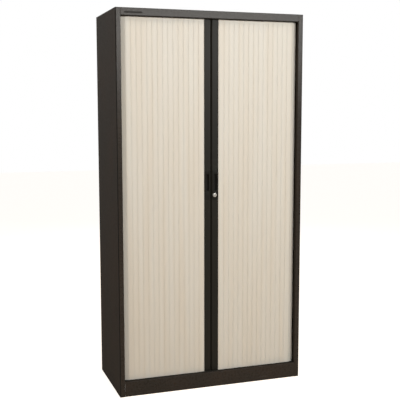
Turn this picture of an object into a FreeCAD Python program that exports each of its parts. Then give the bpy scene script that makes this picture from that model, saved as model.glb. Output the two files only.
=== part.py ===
import FreeCAD, Part
import math
import os

# A tall steel cupboard closed by two side-opening tambour leaves.
# Lengths are millimetres. X runs to the viewer's right, Y into the cupboard and Z up.
# The origin is the centre of the footprint, on the floor. The front face is at y = front.

# Overall size
width = 1016.0
depth = 470.0
height = 1981.0

# Steel sheet
sheet = 1.0
bend_radius = 1.0
overrun = 5.0

# Front frame of the carcass
post_width = 26.0
post_return = 22.0
rail_height = 40.0
rail_return = 20.0
rail_upstand = 14.0
plinth_height = 80.0
plinth_return = 20.0
plinth_foot_return = 15.0
base_drop = 13.0

# Flanges that join the panels
side_foot_flange = 20.0
rear_flange = 15.0
rear_rail_flange = 20.0
panel_side_flange = 20.0

# Path of the curtain, measured on its middle line
curtain_recess = 25.0
slat_thickness = 8.0
slat_pitch = 27.5
corner_radius = 42.0
pocket_outer = 13.0
leaf_travel = 395.0

# Slat section
crown_width = 20.0
crown_skin = 1.6
crown_edge_radius = 1.0
hinge_bead_radius = 1.8
hinge_clearance = 0.3
hinge_wall = 1.3
hinge_neck = 1.6
hinge_web = 2.4
mouth_back_angle = 110.0
mouth_front_angle = 212.0
end_plug_height = 12.0
end_plug_depth = 5.4
plug_inset = 0.1
curtain_gap = 0.5

# Tracks in which the slats and stiles run
groove_width = 4.6
groove_depth = 8.0
track_wall = 3.0
track_height = 12.0
track_web = 3.0
track_flange = 3.0
track_flange_width = 18.0
track_end_gap = 3.0
track_running_gap = 0.3
tail_stop_gap = 0.3
track_lift_gap = 2.0

# Meeting stiles
stile_width = 38.0
stile_depth = 22.0
stile_wall = 1.8
stile_recess = 26.0
meeting_gap = 0.5
nose_width = 5.0
nose_depth = 6.0
stile_edge_radius = 1.5
stile_tab_length = 24.0
stile_tab_thickness = 3.6

# Finger pulls, one moulding in the face of each stile
pull_plate_width = 32.0
pull_plate_height = 158.0
pull_plate_drop = 26.0
pull_plate_thickness = 1.5
pull_plate_radius = 5.0
pull_plate_inner_edge = 6.0
pocket_width = 16.0
pocket_height = 87.0
pocket_rise = 23.0
pocket_inner_edge = 14.0
pocket_radius = 3.0
pocket_wall = 1.5
pull_cup_depth = 14.0
pull_fit = 0.3

# Lock in the right stile
lock_x = 19.0
lock_z = 1034.0
bezel_radius = 10.5
bezel_thickness = 2.5
bezel_edge_radius = 0.8
barrel_radius = 9.0
barrel_length = 14.5
barrel_fit = 0.1
plug_radius = 6.0
plug_fit = 0.05
plug_proud = 0.4
key_slot_width = 1.4
key_slot_length = 8.0
key_slot_depth = 6.0
tail_side = 6.0
tail_length = 6.0
tail_fit = 0.05
hook_start = 2.5
hook_thickness = 3.0
hook_hub_radius = 7.5
hook_arm_width = 9.0
hook_reach = 27.5
hook_beak_width = 4.0
hook_beak_length = 5.0
hook_slot_below = 5.5
hook_slot_above = 27.0
hook_slot_side_gap = 1.5

# Liners inside the cupboard, which hide the side runs
liner_offset = 15.5
liner_setback = 55.0
liner_flange = 12.0
liner_seat_flange = 15.0
liner_seat_inset = 2.0
slot_width = 3.0
slot_height = 12.0
slot_pitch = 25.0
slot_margin = 60.0
slot_front_setback = 60.0
slot_rear_setback = 60.0
screw_radius = 1.95
screw_fit = 0.05
screw_head_radius = 3.75
screw_head_height = 2.3
screw_length = 7.0
screw_inset = 8.0
screw_spacing = 110.0
screws_per_liner = 3

# Shelves and the clips that carry them
shelf_count = 4
lowest_shelf_rise = 325.0
shelf_spacing = 375.0
shelf_side_gap = 1.5
shelf_setback = 63.0
shelf_rear_gap = 7.0
shelf_front_height = 25.0
shelf_lip = 12.0
shelf_side_flange = 15.0
shelf_flange_inset = 2.0
clip_width = 18.0
clip_thickness = 1.2
clip_tab_thickness = 2.0
clip_tab_length = 11.0
clip_top_gap = 3.0
clip_drop = 14.0
hook_tongue_thickness = 2.0
hook_tongue_height = 6.0
hook_tongue_top_gap = 1.0
hook_tongue_drop = 12.0
hook_tongue_lip = 2.0
hook_tongue_gap = 0.3

# Levelling feet under the base
foot_inset_x = 48.0
foot_inset_y = 45.0
foot_pad_radius = 18.0
foot_pad_height = 8.0
foot_pad_edge = 2.0
foot_stem_radius = 5.0
foot_stem_fit = 0.05
foot_sleeve_radius = 9.0
foot_travel = 20.0
foot_thread_left = 10.0
foot_top_gap = 1.0

# Places that follow from the sizes above
half_width = width / 2
front = -depth / 2
back = depth / 2
inner_side = half_width - sheet
post_inner = half_width - post_width
top_under = height - sheet
rail_bottom = height - rail_height
base_top = plinth_height - base_drop
back_face = back - 2 * sheet
track_end = back_face - track_end_gap
rear_bend = back - sheet - bend_radius
curtain_y = front + curtain_recess + slat_thickness / 2
side_line = inner_side - pocket_outer
arc_start = side_line - corner_radius
arc_y = curtain_y + corner_radius
arc_length = corner_radius * math.pi / 2
track_half = groove_width / 2 + track_wall
base_track_top = base_top + track_height
top_track_under = rail_bottom + sheet
top_track_top = top_track_under + track_height
curtain_bottom = plinth_height + curtain_gap
curtain_top = rail_bottom - curtain_gap
guide_bottom = base_track_top - groove_depth + track_running_gap
guide_top = top_track_under + groove_depth - track_lift_gap
ring_radius = hinge_bead_radius + hinge_clearance + hinge_wall
joint_reach = (slat_pitch - crown_width) / 2
stile_edge = meeting_gap + stile_width
stile_front = front + stile_recess
stile_back = stile_front + stile_depth
first_joint = stile_edge + joint_reach
slats_per_leaf = int((arc_start + arc_length - first_joint) / slat_pitch)
pull_plate_bottom = lock_z - pull_plate_drop
pocket_bottom = lock_z + pocket_rise
pull_front = stile_front - pull_plate_thickness
cup_back = stile_front + pull_cup_depth
barrel_back = pull_front + barrel_length
liner_face = inner_side - pocket_outer - liner_offset - sheet
liner_back = liner_face + sheet
liner_front = front + liner_setback
first_slot = base_top + slot_margin
slot_count = int((top_under - slot_margin - first_slot) / slot_pitch)
slot_columns = (liner_front + slot_front_setback, back_face - slot_rear_setback)
shelf_half = liner_face - shelf_side_gap
shelf_front = front + shelf_setback
shelf_back = back_face - shelf_rear_gap
sleeve_bottom = base_top - sheet - foot_travel - foot_thread_left
foot_stem_top = base_top - foot_top_gap


def plan(a, b):
    """a point of a section that lies flat, seen from above"""
    return FreeCAD.Vector(a, b, 0)


def profile(a, b):
    """a point of a section seen from the side, with a along Y and b along Z"""
    return FreeCAD.Vector(0, a, b)


def elevation(a, b):
    """a point of a section seen from the front, with a along X and b along Z"""
    return FreeCAD.Vector(a, 0, b)


def block(x0, x1, y0, y1, z0, z1):
    """a plain block between two corners"""
    corner = FreeCAD.Vector(min(x0, x1), min(y0, y1), min(z0, z1))
    return Part.makeBox(abs(x1 - x0), abs(y1 - y0), abs(z1 - z0), corner)


def pillar(radius, x, y, z0, z1):
    """a round bar along Z"""
    return Part.makeCylinder(radius, z1 - z0, FreeCAD.Vector(x, y, z0))


def spindle(radius, x, z, y0, y1):
    """a round bar along Y"""
    return Part.makeCylinder(radius, y1 - y0, FreeCAD.Vector(x, y0, z), FreeCAD.Vector(0, 1, 0))


def joined(pieces):
    """one solid from pieces that touch or overlap"""
    return pieces[0].multiFuse(pieces[1:]).removeSplitter()


def round_edges(shape):
    """the full circles among a shape's edges"""
    return [edge for edge in shape.Edges if edge.Closed and len(edge.Vertexes) == 1]


def mirrored(shape):
    """the same piece on the other side of the cupboard"""
    return shape.mirror(FreeCAD.Vector(0, 0, 0), FreeCAD.Vector(1, 0, 0))


def rounded_section(points, radii, place):
    """a closed face through points, each corner rounded by its radius"""
    corners = [place(a, b) for a, b in points]
    starts = []
    ends = []
    edges = []
    for index, corner in enumerate(corners):
        before = (corners[index - 1] - corner).normalize()
        after = (corners[(index + 1) % len(corners)] - corner).normalize()
        radius = radii[index]
        if radius == 0:
            starts.append(corner)
            ends.append(corner)
            continue
        half_angle = before.getAngle(after) / 2
        reach = radius / math.tan(half_angle)
        middle = (before + after).normalize()
        rise = radius / math.sin(half_angle) - radius
        starts.append(corner + before * reach)
        ends.append(corner + after * reach)
        edges.append(Part.Arc(starts[-1], corner + middle * rise, ends[-1]).toShape())
    for index, end in enumerate(ends):
        start = starts[(index + 1) % len(starts)]
        edges.append(Part.LineSegment(end, start).toShape())
    return Part.Face(Part.Wire(Part.__sortEdges__(edges)))


def folded_section(points, side, place):
    """a face of folded sheet: points run along its outer face, and the sheet lies to the left
    of the walk for side 1 and to the right of it for side -1"""
    walk = [FreeCAD.Vector(a, b, 0) for a, b in points]
    headings = [(walk[i + 1] - walk[i]).normalize() for i in range(len(walk) - 1)]
    normals = [FreeCAD.Vector(-h.y, h.x, 0) * side for h in headings]
    shifted = []
    face_radii = []
    inner_radii = []
    for index, point in enumerate(walk):
        first = normals[max(index - 1, 0)]
        second = normals[min(index, len(normals) - 1)]
        shifted.append(point + (first + second) * (sheet / (1 + first.dot(second))))
        if index in (0, len(walk) - 1):
            face_radii.append(0)
            inner_radii.append(0)
            continue
        turn = headings[index - 1].cross(headings[index]).z * side
        face_radii.append(bend_radius + sheet if turn > 0 else bend_radius)
        inner_radii.append(bend_radius if turn > 0 else bend_radius + sheet)
    outline = [(p.x, p.y) for p in walk] + [(p.x, p.y) for p in reversed(shifted)]
    return rounded_section(outline, face_radii + inner_radii[::-1], place)


def raised(face, z0, z1):
    """a plan section between two levels"""
    lifted = face.translated(FreeCAD.Vector(0, 0, z0))
    return lifted.extrude(FreeCAD.Vector(0, 0, z1 - z0))


def drawn_across(face, x0, x1):
    """a side section between two places along X"""
    moved = face.translated(FreeCAD.Vector(x0, 0, 0))
    return moved.extrude(FreeCAD.Vector(x1 - x0, 0, 0))


def drawn_back(face, y0, y1):
    """a front section between two places along Y"""
    moved = face.translated(FreeCAD.Vector(0, y0, 0))
    return moved.extrude(FreeCAD.Vector(0, y1 - y0, 0))


# Path of the curtain on the right-hand side: straight, round the corner, then back along the side
def path_point(run):
    """the place on the curtain's middle line, run millimetres from the centre of the front"""
    if run <= arc_start:
        return FreeCAD.Vector(run, curtain_y, 0)
    angle = (run - arc_start) / corner_radius
    if run <= arc_start + arc_length:
        across = arc_start + corner_radius * math.sin(angle)
        return FreeCAD.Vector(across, arc_y - corner_radius * math.cos(angle), 0)
    return FreeCAD.Vector(side_line, arc_y + run - arc_start - arc_length, 0)


def next_joint(run):
    """the run at which the far hinge of a rigid slat stands, when its near hinge is at run"""
    near = path_point(run)
    low = run
    high = run + 2 * slat_pitch
    for _ in range(50):
        middle = (low + high) / 2
        if (path_point(middle) - near).Length < slat_pitch:
            low = middle
        else:
            high = middle
    return (low + high) / 2


def slat_runs():
    """the runs of the hinges of a closed leaf, from the stile to the last slat's far edge"""
    runs = [first_joint]
    for _ in range(slats_per_leaf):
        runs.append(next_joint(runs[-1]))
    return runs


# Carcass
def side_panel():
    """right-hand side with its front post, post return and rear flange, folded from one sheet"""
    section = folded_section(
        [
            (post_inner, front + post_return),
            (post_inner, front),
            (half_width, front),
            (half_width, back),
            (half_width - rear_flange, back),
        ],
        1,
        plan,
    )
    wall = raised(section, 0, top_under)
    foot = block(half_width - side_foot_flange, inner_side, front + sheet, back_face, 0, sheet)
    return joined([wall, foot])


def top_panel():
    """top plate with the front rail and the rear flange folded down from it"""
    section = folded_section(
        [
            (front + rail_return, rail_bottom + rail_upstand),
            (front + rail_return, rail_bottom),
            (front, rail_bottom),
            (front, height),
            (back, height),
            (back, height - rear_rail_flange),
        ],
        -1,
        profile,
    )
    plate = drawn_across(section, -half_width, half_width)
    low = rail_bottom - overrun
    for side in (-1, 1):
        outer = side * (half_width + overrun)
        plate = plate.cut(
            block(side * post_inner, outer, front - overrun, front + post_return, low, top_under)
        )
        plate = plate.cut(
            block(side * (half_width - rear_flange), outer, rear_bend, back + overrun, low, top_under)
        )
    flanges = [
        block(
            side * (inner_side - sheet),
            side * inner_side,
            front + post_return,
            back_face,
            height - panel_side_flange,
            top_under + sheet / 2,
        )
        for side in (-1, 1)
    ]
    return joined([plate] + flanges)


def foot_places():
    """the centres of the four levelling feet, by name"""
    x = half_width - foot_inset_x
    return {
        "foot_front_left": (-x, front + foot_inset_y),
        "foot_front_right": (x, front + foot_inset_y),
        "foot_rear_left": (-x, back - foot_inset_y),
        "foot_rear_right": (x, back - foot_inset_y),
    }


def liner_screw_places():
    """the screws that hold the right-hand liner's foot flange to the base"""
    middle = (liner_front + back_face) / 2
    x = liner_face - screw_inset
    count = range(screws_per_liner)
    return [(x, middle + (i - (screws_per_liner - 1) / 2) * screw_spacing) for i in count]


def base_pan():
    """plinth, ledge and floor of the cupboard folded from one sheet, with the sleeves of the feet"""
    section = folded_section(
        [
            (front + plinth_foot_return, 0),
            (front, 0),
            (front, plinth_height),
            (front + plinth_return, plinth_height),
            (front + plinth_return, base_top),
            (back_face, base_top),
            (back_face, base_top - panel_side_flange),
        ],
        -1,
        profile,
    )
    pan = drawn_across(section, -inner_side, inner_side)
    for side in (-1, 1):
        outer = side * (half_width + overrun)
        ledge_back = front + post_return
        corner = block(
            side * post_inner, outer, front - overrun, ledge_back, -overrun, plinth_height + overrun
        )
        pan = pan.cut(corner)
    pieces = [pan]
    for side in (-1, 1):
        pieces.append(
            block(
                side * (inner_side - sheet),
                side * inner_side,
                front + post_return,
                back_face,
                base_top - panel_side_flange,
                base_top - sheet / 2,
            )
        )
    for x, y in foot_places().values():
        pieces.append(pillar(foot_sleeve_radius, x, y, sleeve_bottom, base_top - sheet / 2))
    pan = joined(pieces)
    for x, y in foot_places().values():
        pan = pan.cut(pillar(foot_stem_radius + foot_stem_fit, x, y, -overrun, base_top + overrun))
    for x, y in liner_screw_places():
        for side in (-1, 1):
            hole = pillar(screw_radius + screw_fit, side * x, y, base_top - overrun, base_top + overrun)
            pan = pan.cut(hole)
    return pan


def back_panel():
    """flat back, held between the rear flanges and the base"""
    half = inner_side - bend_radius
    return block(-half, half, back_face, back_face + sheet, 0, top_under - bend_radius)


def liner():
    """right-hand inner wall with its rows of slots for the shelf clips"""
    section = folded_section(
        [
            (liner_back - liner_flange, liner_front),
            (liner_back, liner_front),
            (liner_back, back_face),
            (liner_back - liner_flange, back_face),
        ],
        1,
        plan,
    )
    wall = raised(section, base_top, top_under)
    seat_front = liner_front + liner_seat_inset
    seat_back = back_face - liner_seat_inset
    inner = liner_back - liner_seat_flange
    middle = liner_back - sheet / 2
    foot = block(inner, middle, seat_front, seat_back, base_top, base_top + sheet)
    head = block(inner, middle, seat_front, seat_back, top_under - sheet, top_under)
    slots = []
    for column in slot_columns:
        for index in range(slot_count):
            z = first_slot + index * slot_pitch
            y0 = column - slot_width / 2
            slots.append(
                block(liner_face - overrun, liner_back + overrun, y0, y0 + slot_width, z, z + slot_height)
            )
    panel = joined([wall, foot, head])
    for x, y in liner_screw_places():
        slots.append(pillar(screw_radius + screw_fit, x, y, base_top - overrun, base_top + overrun))
    return panel.cut(Part.makeCompound(slots))


def liner_screws():
    """pan-head screws through the foot flanges of both liners"""
    head_bottom = base_top + sheet
    screws = []
    for x, y in liner_screw_places():
        for side in (-1, 1):
            shank = pillar(screw_radius, side * x, y, head_bottom - screw_length, head_bottom)
            head = pillar(screw_head_radius, side * x, y, head_bottom, head_bottom + screw_head_height)
            middle = head_bottom + screw_head_height / 2
            rim = [edge for edge in round_edges(head) if edge.CenterOfMass.z > middle]
            screws.append(joined([shank, head.makeFillet(screw_head_height / 2, rim)]))
    return Part.makeCompound(screws)


# Tracks
def band(half, end, z0, z1):
    """a strip of the curtain's whole path, half wide on each side of its middle line, back to end"""
    strips = []
    for offset in (half, -half):
        radius = corner_radius + offset
        side = arc_start + radius
        level = arc_y - radius
        slant = radius * math.sqrt(2) / 2
        strips.append(
            [
                Part.LineSegment(plan(side, end), plan(side, arc_y)).toShape(),
                Part.Arc(
                    plan(side, arc_y), plan(arc_start + slant, arc_y - slant), plan(arc_start, level)
                ).toShape(),
                Part.LineSegment(plan(arc_start, level), plan(-arc_start, level)).toShape(),
                Part.Arc(
                    plan(-arc_start, level), plan(-arc_start - slant, arc_y - slant), plan(-side, arc_y)
                ).toShape(),
                Part.LineSegment(plan(-side, arc_y), plan(-side, end)).toShape(),
            ]
        )
    caps = []
    for side in (-1, 1):
        outer = plan(side * (side_line + half), end)
        inner = plan(side * (side_line - half), end)
        caps.append(Part.LineSegment(outer, inner).toShape())
    edges = Part.__sortEdges__(strips[0] + strips[1] + caps)
    return raised(Part.Face(Part.Wire(edges)), z0, z1)


def bottom_track():
    """channel on the floor of the base, open upwards, that carries the curtain"""
    channel = band(track_half, track_end, base_top, base_track_top)
    groove_floor = base_track_top - groove_depth
    return channel.cut(band(groove_width / 2, tail_stop(), groove_floor, base_track_top + overrun))


def tail_stop():
    """where a groove ends and stops the last slat's guide, once the leaf is fully open"""
    closed = slat_runs()[-1]
    opened = path_point(closed + leaf_travel)
    return opened.y + hinge_bead_radius + tail_stop_gap


def top_track():
    """channel open downwards, hung from the top plate by a web and a flange"""
    channel = band(track_half, track_end, top_track_under, top_track_top)
    web = band(track_web / 2, track_end, top_track_top, top_under - track_flange)
    flange = band(track_flange_width / 2, track_end, top_under - track_flange, top_under)
    groove_roof = top_track_under + groove_depth
    groove = band(groove_width / 2, tail_stop(), top_track_under - overrun, groove_roof)
    return joined([channel, web, flange]).cut(groove)


# Curtain
def disc(radius, x, y):
    """a round face in a plan section"""
    return Part.Face(Part.Wire(Part.makeCircle(radius, FreeCAD.Vector(x, y, 0))))


def strip(x0, x1, y0, y1):
    """a rectangular face in a plan section"""
    points = [(x0, y0), (x1, y0), (x1, y1), (x0, y1)]
    return rounded_section(points, [0] * len(points), plan)


def hinge_bead(x, y, root):
    """the bead and neck that reach from root into the next slat's socket"""
    neck = strip(root, x, y - hinge_neck / 2, y + hinge_neck / 2)
    return [neck, disc(hinge_bead_radius, x, y)]


def slat_section():
    """section of the extruded slat about its own middle, with its crown towards -Y"""
    half = crown_width / 2
    reach = slat_pitch / 2
    rise = slat_thickness / 2
    crown = rounded_section(
        [(-half, -rise), (half, -rise), (half, rise), (-half, rise)],
        [crown_edge_radius, crown_edge_radius, 0, 0],
        plan,
    )
    inner = half - crown_skin
    hollow = strip(-inner, inner, -rise + crown_skin, rise + overrun)
    web = strip(-reach, -inner, -hinge_web / 2, hinge_web / 2)
    ring = disc(ring_radius, -reach, 0)
    body = crown.cut(hollow).multiFuse([ring, web] + hinge_bead(reach, 0, inner))
    mouth = [(-reach, 0)]
    for share in (0, 0.5, 1):
        angle = math.radians(mouth_back_angle + share * (mouth_front_angle - mouth_back_angle))
        far = 2 * ring_radius
        mouth.append((-reach + far * math.cos(angle), far * math.sin(angle)))
    socket = disc(hinge_bead_radius + hinge_clearance, -reach, 0)
    body = body.cut(socket).cut(rounded_section(mouth, [0] * len(mouth), plan))
    return body.removeSplitter()


def slat():
    """one slat about its own middle, with its end plugs; its bead runs on into both tracks"""
    solid = raised(slat_section(), curtain_bottom, curtain_top)
    inner = crown_width / 2 - crown_skin + plug_inset
    plug_front = -slat_thickness / 2 + crown_skin - plug_inset
    plug_back = plug_front + end_plug_depth
    bead = disc(hinge_bead_radius, slat_pitch / 2, 0)
    pieces = [solid, raised(bead, guide_bottom, guide_top)]
    for z0, z1 in (
        (curtain_bottom, curtain_bottom + end_plug_height),
        (curtain_top - end_plug_height, curtain_top),
    ):
        pieces.append(block(-inner, inner, plug_front, plug_back, z0, z1))
    return joined(pieces)


def stile():
    """right-hand meeting stile, a hollow extrusion with a hinge bead for the first slat"""
    inner = meeting_gap
    outer = stile_edge
    body = rounded_section(
        [
            (inner, stile_front + nose_depth),
            (inner + nose_width, stile_front),
            (outer, stile_front),
            (outer, stile_back),
            (inner, stile_back),
        ],
        [stile_edge_radius] * 5,
        plan,
    )
    hollow = strip(
        inner + stile_wall, outer - stile_wall, stile_front + nose_depth, stile_back - stile_wall
    )
    front_hollow = strip(
        inner + nose_width + stile_wall, outer - stile_wall, stile_front + stile_wall, stile_back - stile_wall
    )
    wall = body.cut(hollow.fuse(front_hollow))
    root = outer - stile_wall / 2
    section = wall.multiFuse(hinge_bead(first_joint, curtain_y, root)).removeSplitter()
    pieces = [raised(section, curtain_bottom, curtain_top)]
    middle = (inner + outer) / 2
    half_tab = stile_tab_length / 2
    half_thick = stile_tab_thickness / 2
    plug_inner = inner + stile_wall - plug_inset
    plug_outer = outer - stile_wall + plug_inset
    plug_front = stile_front + nose_depth
    plug_back = stile_back - stile_wall + plug_inset
    tab_front = curtain_y - half_thick
    tab_back = curtain_y + half_thick
    for z0, z1 in (
        (curtain_bottom, curtain_bottom + end_plug_height),
        (curtain_top - end_plug_height, curtain_top),
    ):
        pieces.append(block(plug_inner, plug_outer, plug_front, plug_back, z0, z1))
    low = curtain_bottom + end_plug_height
    high = curtain_top - end_plug_height
    pieces.append(block(middle - half_tab, middle + half_tab, tab_front, tab_back, guide_bottom, low))
    pieces.append(block(middle - half_tab, middle + half_tab, tab_front, tab_back, high, guide_top))
    solid = joined(pieces)
    cup_z0 = pocket_bottom - pocket_wall - pull_fit
    cup_z1 = pocket_bottom + pocket_height + pocket_wall + pull_fit
    cup_x0 = pocket_inner_edge - pocket_wall - pull_fit
    cup_x1 = pocket_inner_edge + pocket_width + pocket_wall + pull_fit
    window = block(cup_x0, cup_x1, stile_front - overrun, stile_front + stile_wall + pull_fit, cup_z0, cup_z1)
    slot = block(
        -overrun,
        meeting_gap + stile_wall + pull_fit,
        barrel_back + hook_start - hook_slot_side_gap,
        barrel_back + hook_start + hook_thickness + hook_slot_side_gap,
        lock_z - hook_slot_below,
        lock_z + hook_slot_above,
    )
    return solid.cut(window).cut(slot)


def right_stile():
    """the stile with the lock: a round hole passes the lock's barrel"""
    hole = spindle(barrel_radius + barrel_fit, lock_x, lock_z, stile_front - overrun, stile_front + overrun)
    return stile().cut(hole)


def finger_pull():
    """right-hand pull: a face plate with a finger pocket moulded behind it"""
    x0 = pull_plate_inner_edge
    x1 = x0 + pull_plate_width
    z0 = pull_plate_bottom
    z1 = z0 + pull_plate_height
    corners = [(x0, z0), (x1, z0), (x1, z1), (x0, z1)]
    plate = drawn_back(
        rounded_section(corners, [pull_plate_radius] * 4, elevation), pull_front, stile_front
    )
    cup_x0 = pocket_inner_edge - pocket_wall
    cup_x1 = pocket_inner_edge + pocket_width + pocket_wall
    cup_z0 = pocket_bottom - pocket_wall
    cup_z1 = pocket_bottom + pocket_height + pocket_wall
    corners = [(cup_x0, cup_z0), (cup_x1, cup_z0), (cup_x1, cup_z1), (cup_x0, cup_z1)]
    cup_radius = pocket_radius + pocket_wall
    cup = drawn_back(rounded_section(corners, [cup_radius] * 4, elevation), stile_front, cup_back)
    px0 = pocket_inner_edge
    px1 = px0 + pocket_width
    pz0 = pocket_bottom
    pz1 = pz0 + pocket_height
    corners = [(px0, pz0), (px1, pz0), (px1, pz1), (px0, pz1)]
    pocket = drawn_back(
        rounded_section(corners, [pocket_radius] * 4, elevation),
        pull_front - overrun,
        cup_back - pocket_wall,
    )
    return joined([plate, cup]).cut(pocket)


def right_finger_pull():
    """the pull with the lock: its plate has a round hole for the lock's barrel"""
    hole = spindle(barrel_radius + barrel_fit, lock_x, lock_z, pull_front - overrun, stile_front + overrun)
    return finger_pull().cut(hole)


# Lock
def lock_housing():
    """round bezel and barrel of the lock, bored for the plug"""
    bezel = spindle(bezel_radius, lock_x, lock_z, pull_front - bezel_thickness, pull_front)
    middle = pull_front - bezel_thickness / 2
    rim = [edge for edge in round_edges(bezel) if edge.CenterOfMass.y < middle]
    bezel = bezel.makeFillet(bezel_edge_radius, rim)
    barrel = spindle(barrel_radius, lock_x, lock_z, middle, barrel_back)
    bore = spindle(
        plug_radius + plug_fit, lock_x, lock_z, pull_front - bezel_thickness - overrun, barrel_back + overrun
    )
    return joined([bezel, barrel]).cut(bore)


def lock_plug():
    """turning plug with its key slot and the square tail that carries the hook"""
    plug_front = pull_front - bezel_thickness - plug_proud
    plug = spindle(plug_radius, lock_x, lock_z, plug_front, barrel_back)
    slot = block(
        lock_x - key_slot_width / 2,
        lock_x + key_slot_width / 2,
        plug_front - overrun,
        plug_front + key_slot_depth,
        lock_z - key_slot_length / 2,
        lock_z + key_slot_length / 2,
    )
    half = tail_side / 2
    tail_back = barrel_back + tail_length
    tail = block(lock_x - half, lock_x + half, barrel_back, tail_back, lock_z - half, lock_z + half)
    return joined([plug, tail]).cut(slot)


def lock_hook():
    """swinging hook, pointing up and unlocked; it turns down towards the left stile"""
    y0 = barrel_back + hook_start
    y1 = y0 + hook_thickness
    hub = spindle(hook_hub_radius, lock_x, lock_z, y0, y1)
    half = hook_arm_width / 2
    top = lock_z + hook_reach
    arm = block(lock_x - half, lock_x + half, y0, y1, lock_z, top)
    beak_end = lock_x - half - hook_beak_length
    beak = block(beak_end, lock_x, y0, y1, top - hook_beak_width, top)
    hole_half = tail_side / 2 + tail_fit
    hole = block(
        lock_x - hole_half,
        lock_x + hole_half,
        y0 - overrun,
        y1 + overrun,
        lock_z - hole_half,
        lock_z + hole_half,
    )
    return joined([hub, arm, beak]).cut(hole)


# Shelves
def shelf_level(index):
    """the height of the seat that carries a shelf's side flanges: the slot nearest its rise"""
    rise = lowest_shelf_rise + index * shelf_spacing
    return first_slot + round(rise / slot_pitch) * slot_pitch


def shelf(index):
    """folded shelf with deep front and rear flanges"""
    top = shelf_level(index) + shelf_side_flange
    low = top - shelf_front_height
    section = folded_section(
        [
            (shelf_front + shelf_lip, low),
            (shelf_front, low),
            (shelf_front, top),
            (shelf_back, top),
            (shelf_back, low),
            (shelf_back - shelf_lip, low),
        ],
        -1,
        profile,
    )
    pieces = [drawn_across(section, -shelf_half, shelf_half)]
    y0 = shelf_front + shelf_flange_inset
    y1 = shelf_back - shelf_flange_inset
    for side in (-1, 1):
        inner = side * (shelf_half - sheet)
        flange = block(inner, side * shelf_half, y0, y1, top - shelf_side_flange, top - sheet / 2)
        pieces.append(flange)
    return joined(pieces)


def shelf_clip(index, column):
    """right-hand clip: a seat for the shelf and a hook through a slot of the liner"""
    seat = shelf_level(index)
    y0 = column - clip_width / 2
    y1 = column + clip_width / 2
    plate_inner = liner_face - clip_thickness
    bottom = seat - clip_drop
    plate = block(plate_inner, liner_face, y0, y1, bottom, seat + shelf_side_flange - clip_top_gap)
    tab_inner = liner_face - clip_tab_length
    tab_outer = plate_inner + clip_thickness / 2
    tab = block(tab_inner, tab_outer, y0, y1, seat - clip_tab_thickness, seat)
    t0 = column - hook_tongue_thickness / 2
    t1 = column + hook_tongue_thickness / 2
    tongue_top = seat + slot_height - hook_tongue_top_gap
    tongue_bottom = tongue_top - hook_tongue_height
    lip_inner = liner_back + hook_tongue_gap
    lip_outer = lip_inner + hook_tongue_lip
    tongue = block(liner_face - clip_thickness / 2, lip_outer, t0, t1, tongue_bottom, tongue_top)
    lip = block(lip_inner, lip_outer, t0, t1, tongue_top - hook_tongue_drop, tongue_top)
    return joined([plate, tab, tongue, lip])


def shelf_clips():
    """four clips for each shelf"""
    clips = []
    for index in range(shelf_count):
        for column in slot_columns:
            clip = shelf_clip(index, column)
            clips.append(clip)
            clips.append(mirrored(clip))
    return Part.makeCompound(clips)


# Feet
def levelling_foot(x, y):
    """screw foot, wound right up so that the plinth meets the floor"""
    pad = pillar(foot_pad_radius, x, y, 0, foot_pad_height)
    rim = [edge for edge in round_edges(pad) if edge.CenterOfMass.z > foot_pad_height / 2]
    pad = pad.makeFillet(foot_pad_edge, rim)
    stem = pillar(foot_stem_radius, x, y, foot_pad_height / 2, foot_stem_top)
    return joined([pad, stem])


# Assembly
def build_all():
    """every piece of the cupboard, by name"""
    nodes = {
        "left_side_panel": mirrored(side_panel()),
        "right_side_panel": side_panel(),
        "top_panel": top_panel(),
        "base_pan": base_pan(),
        "back_panel": back_panel(),
        "left_liner": mirrored(liner()),
        "right_liner": liner(),
        "liner_screws": liner_screws(),
        "bottom_track": bottom_track(),
        "top_track": top_track(),
        "left_stile": mirrored(stile()),
        "right_stile": right_stile(),
        "left_finger_pull": mirrored(finger_pull()),
        "right_finger_pull": right_finger_pull(),
        "lock_housing": lock_housing(),
        "lock_plug": lock_plug(),
        "lock_hook": lock_hook(),
        "shelf_clips": shelf_clips(),
    }
    for index in range(shelf_count):
        nodes["shelf_" + str(index + 1)] = shelf(index)
    one_slat = slat()
    hinges = [path_point(run) for run in slat_runs()]
    for index in range(slats_per_leaf):
        near = hinges[index]
        far = hinges[index + 1]
        chord = far - near
        turn = math.degrees(math.atan2(chord.y, chord.x))
        placed = one_slat.copy()
        placed.rotate(FreeCAD.Vector(0, 0, 0), FreeCAD.Vector(0, 0, 1), turn)
        placed.translate((near + far) / 2)
        nodes["right_slat_%02d" % (index + 1)] = placed
        nodes["left_slat_%02d" % (index + 1)] = mirrored(placed)
    for name, (x, y) in foot_places().items():
        nodes[name] = levelling_foot(x, y)
    return nodes


os.makedirs("parts", exist_ok=True)
for name, shape in build_all().items():
    shape.exportStep("parts/" + name + ".step")
    print(name, len(shape.Solids), round(shape.Volume), shape.isValid())
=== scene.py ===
# %% [markdown]
# # A tall steel cupboard behind two roll fronts
# The real thing is a folded steel case about two metres tall. Two curtains of upright plastic slats close
# it, and each slides sideways, round a corner and back along its side. The construction comes from a packed
# model, so this lesson only dresses it: it gives every sheet, slat, moulding and fastener its real surface,
# and builds again the small parts whose shape shows up close.
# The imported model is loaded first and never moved. Its frame is in metres. The small parts are drawn in
# millimetres, and MM turns those into metres.

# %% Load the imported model
import math

import bmesh
import bpy
from mathutils import Matrix, Vector


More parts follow.
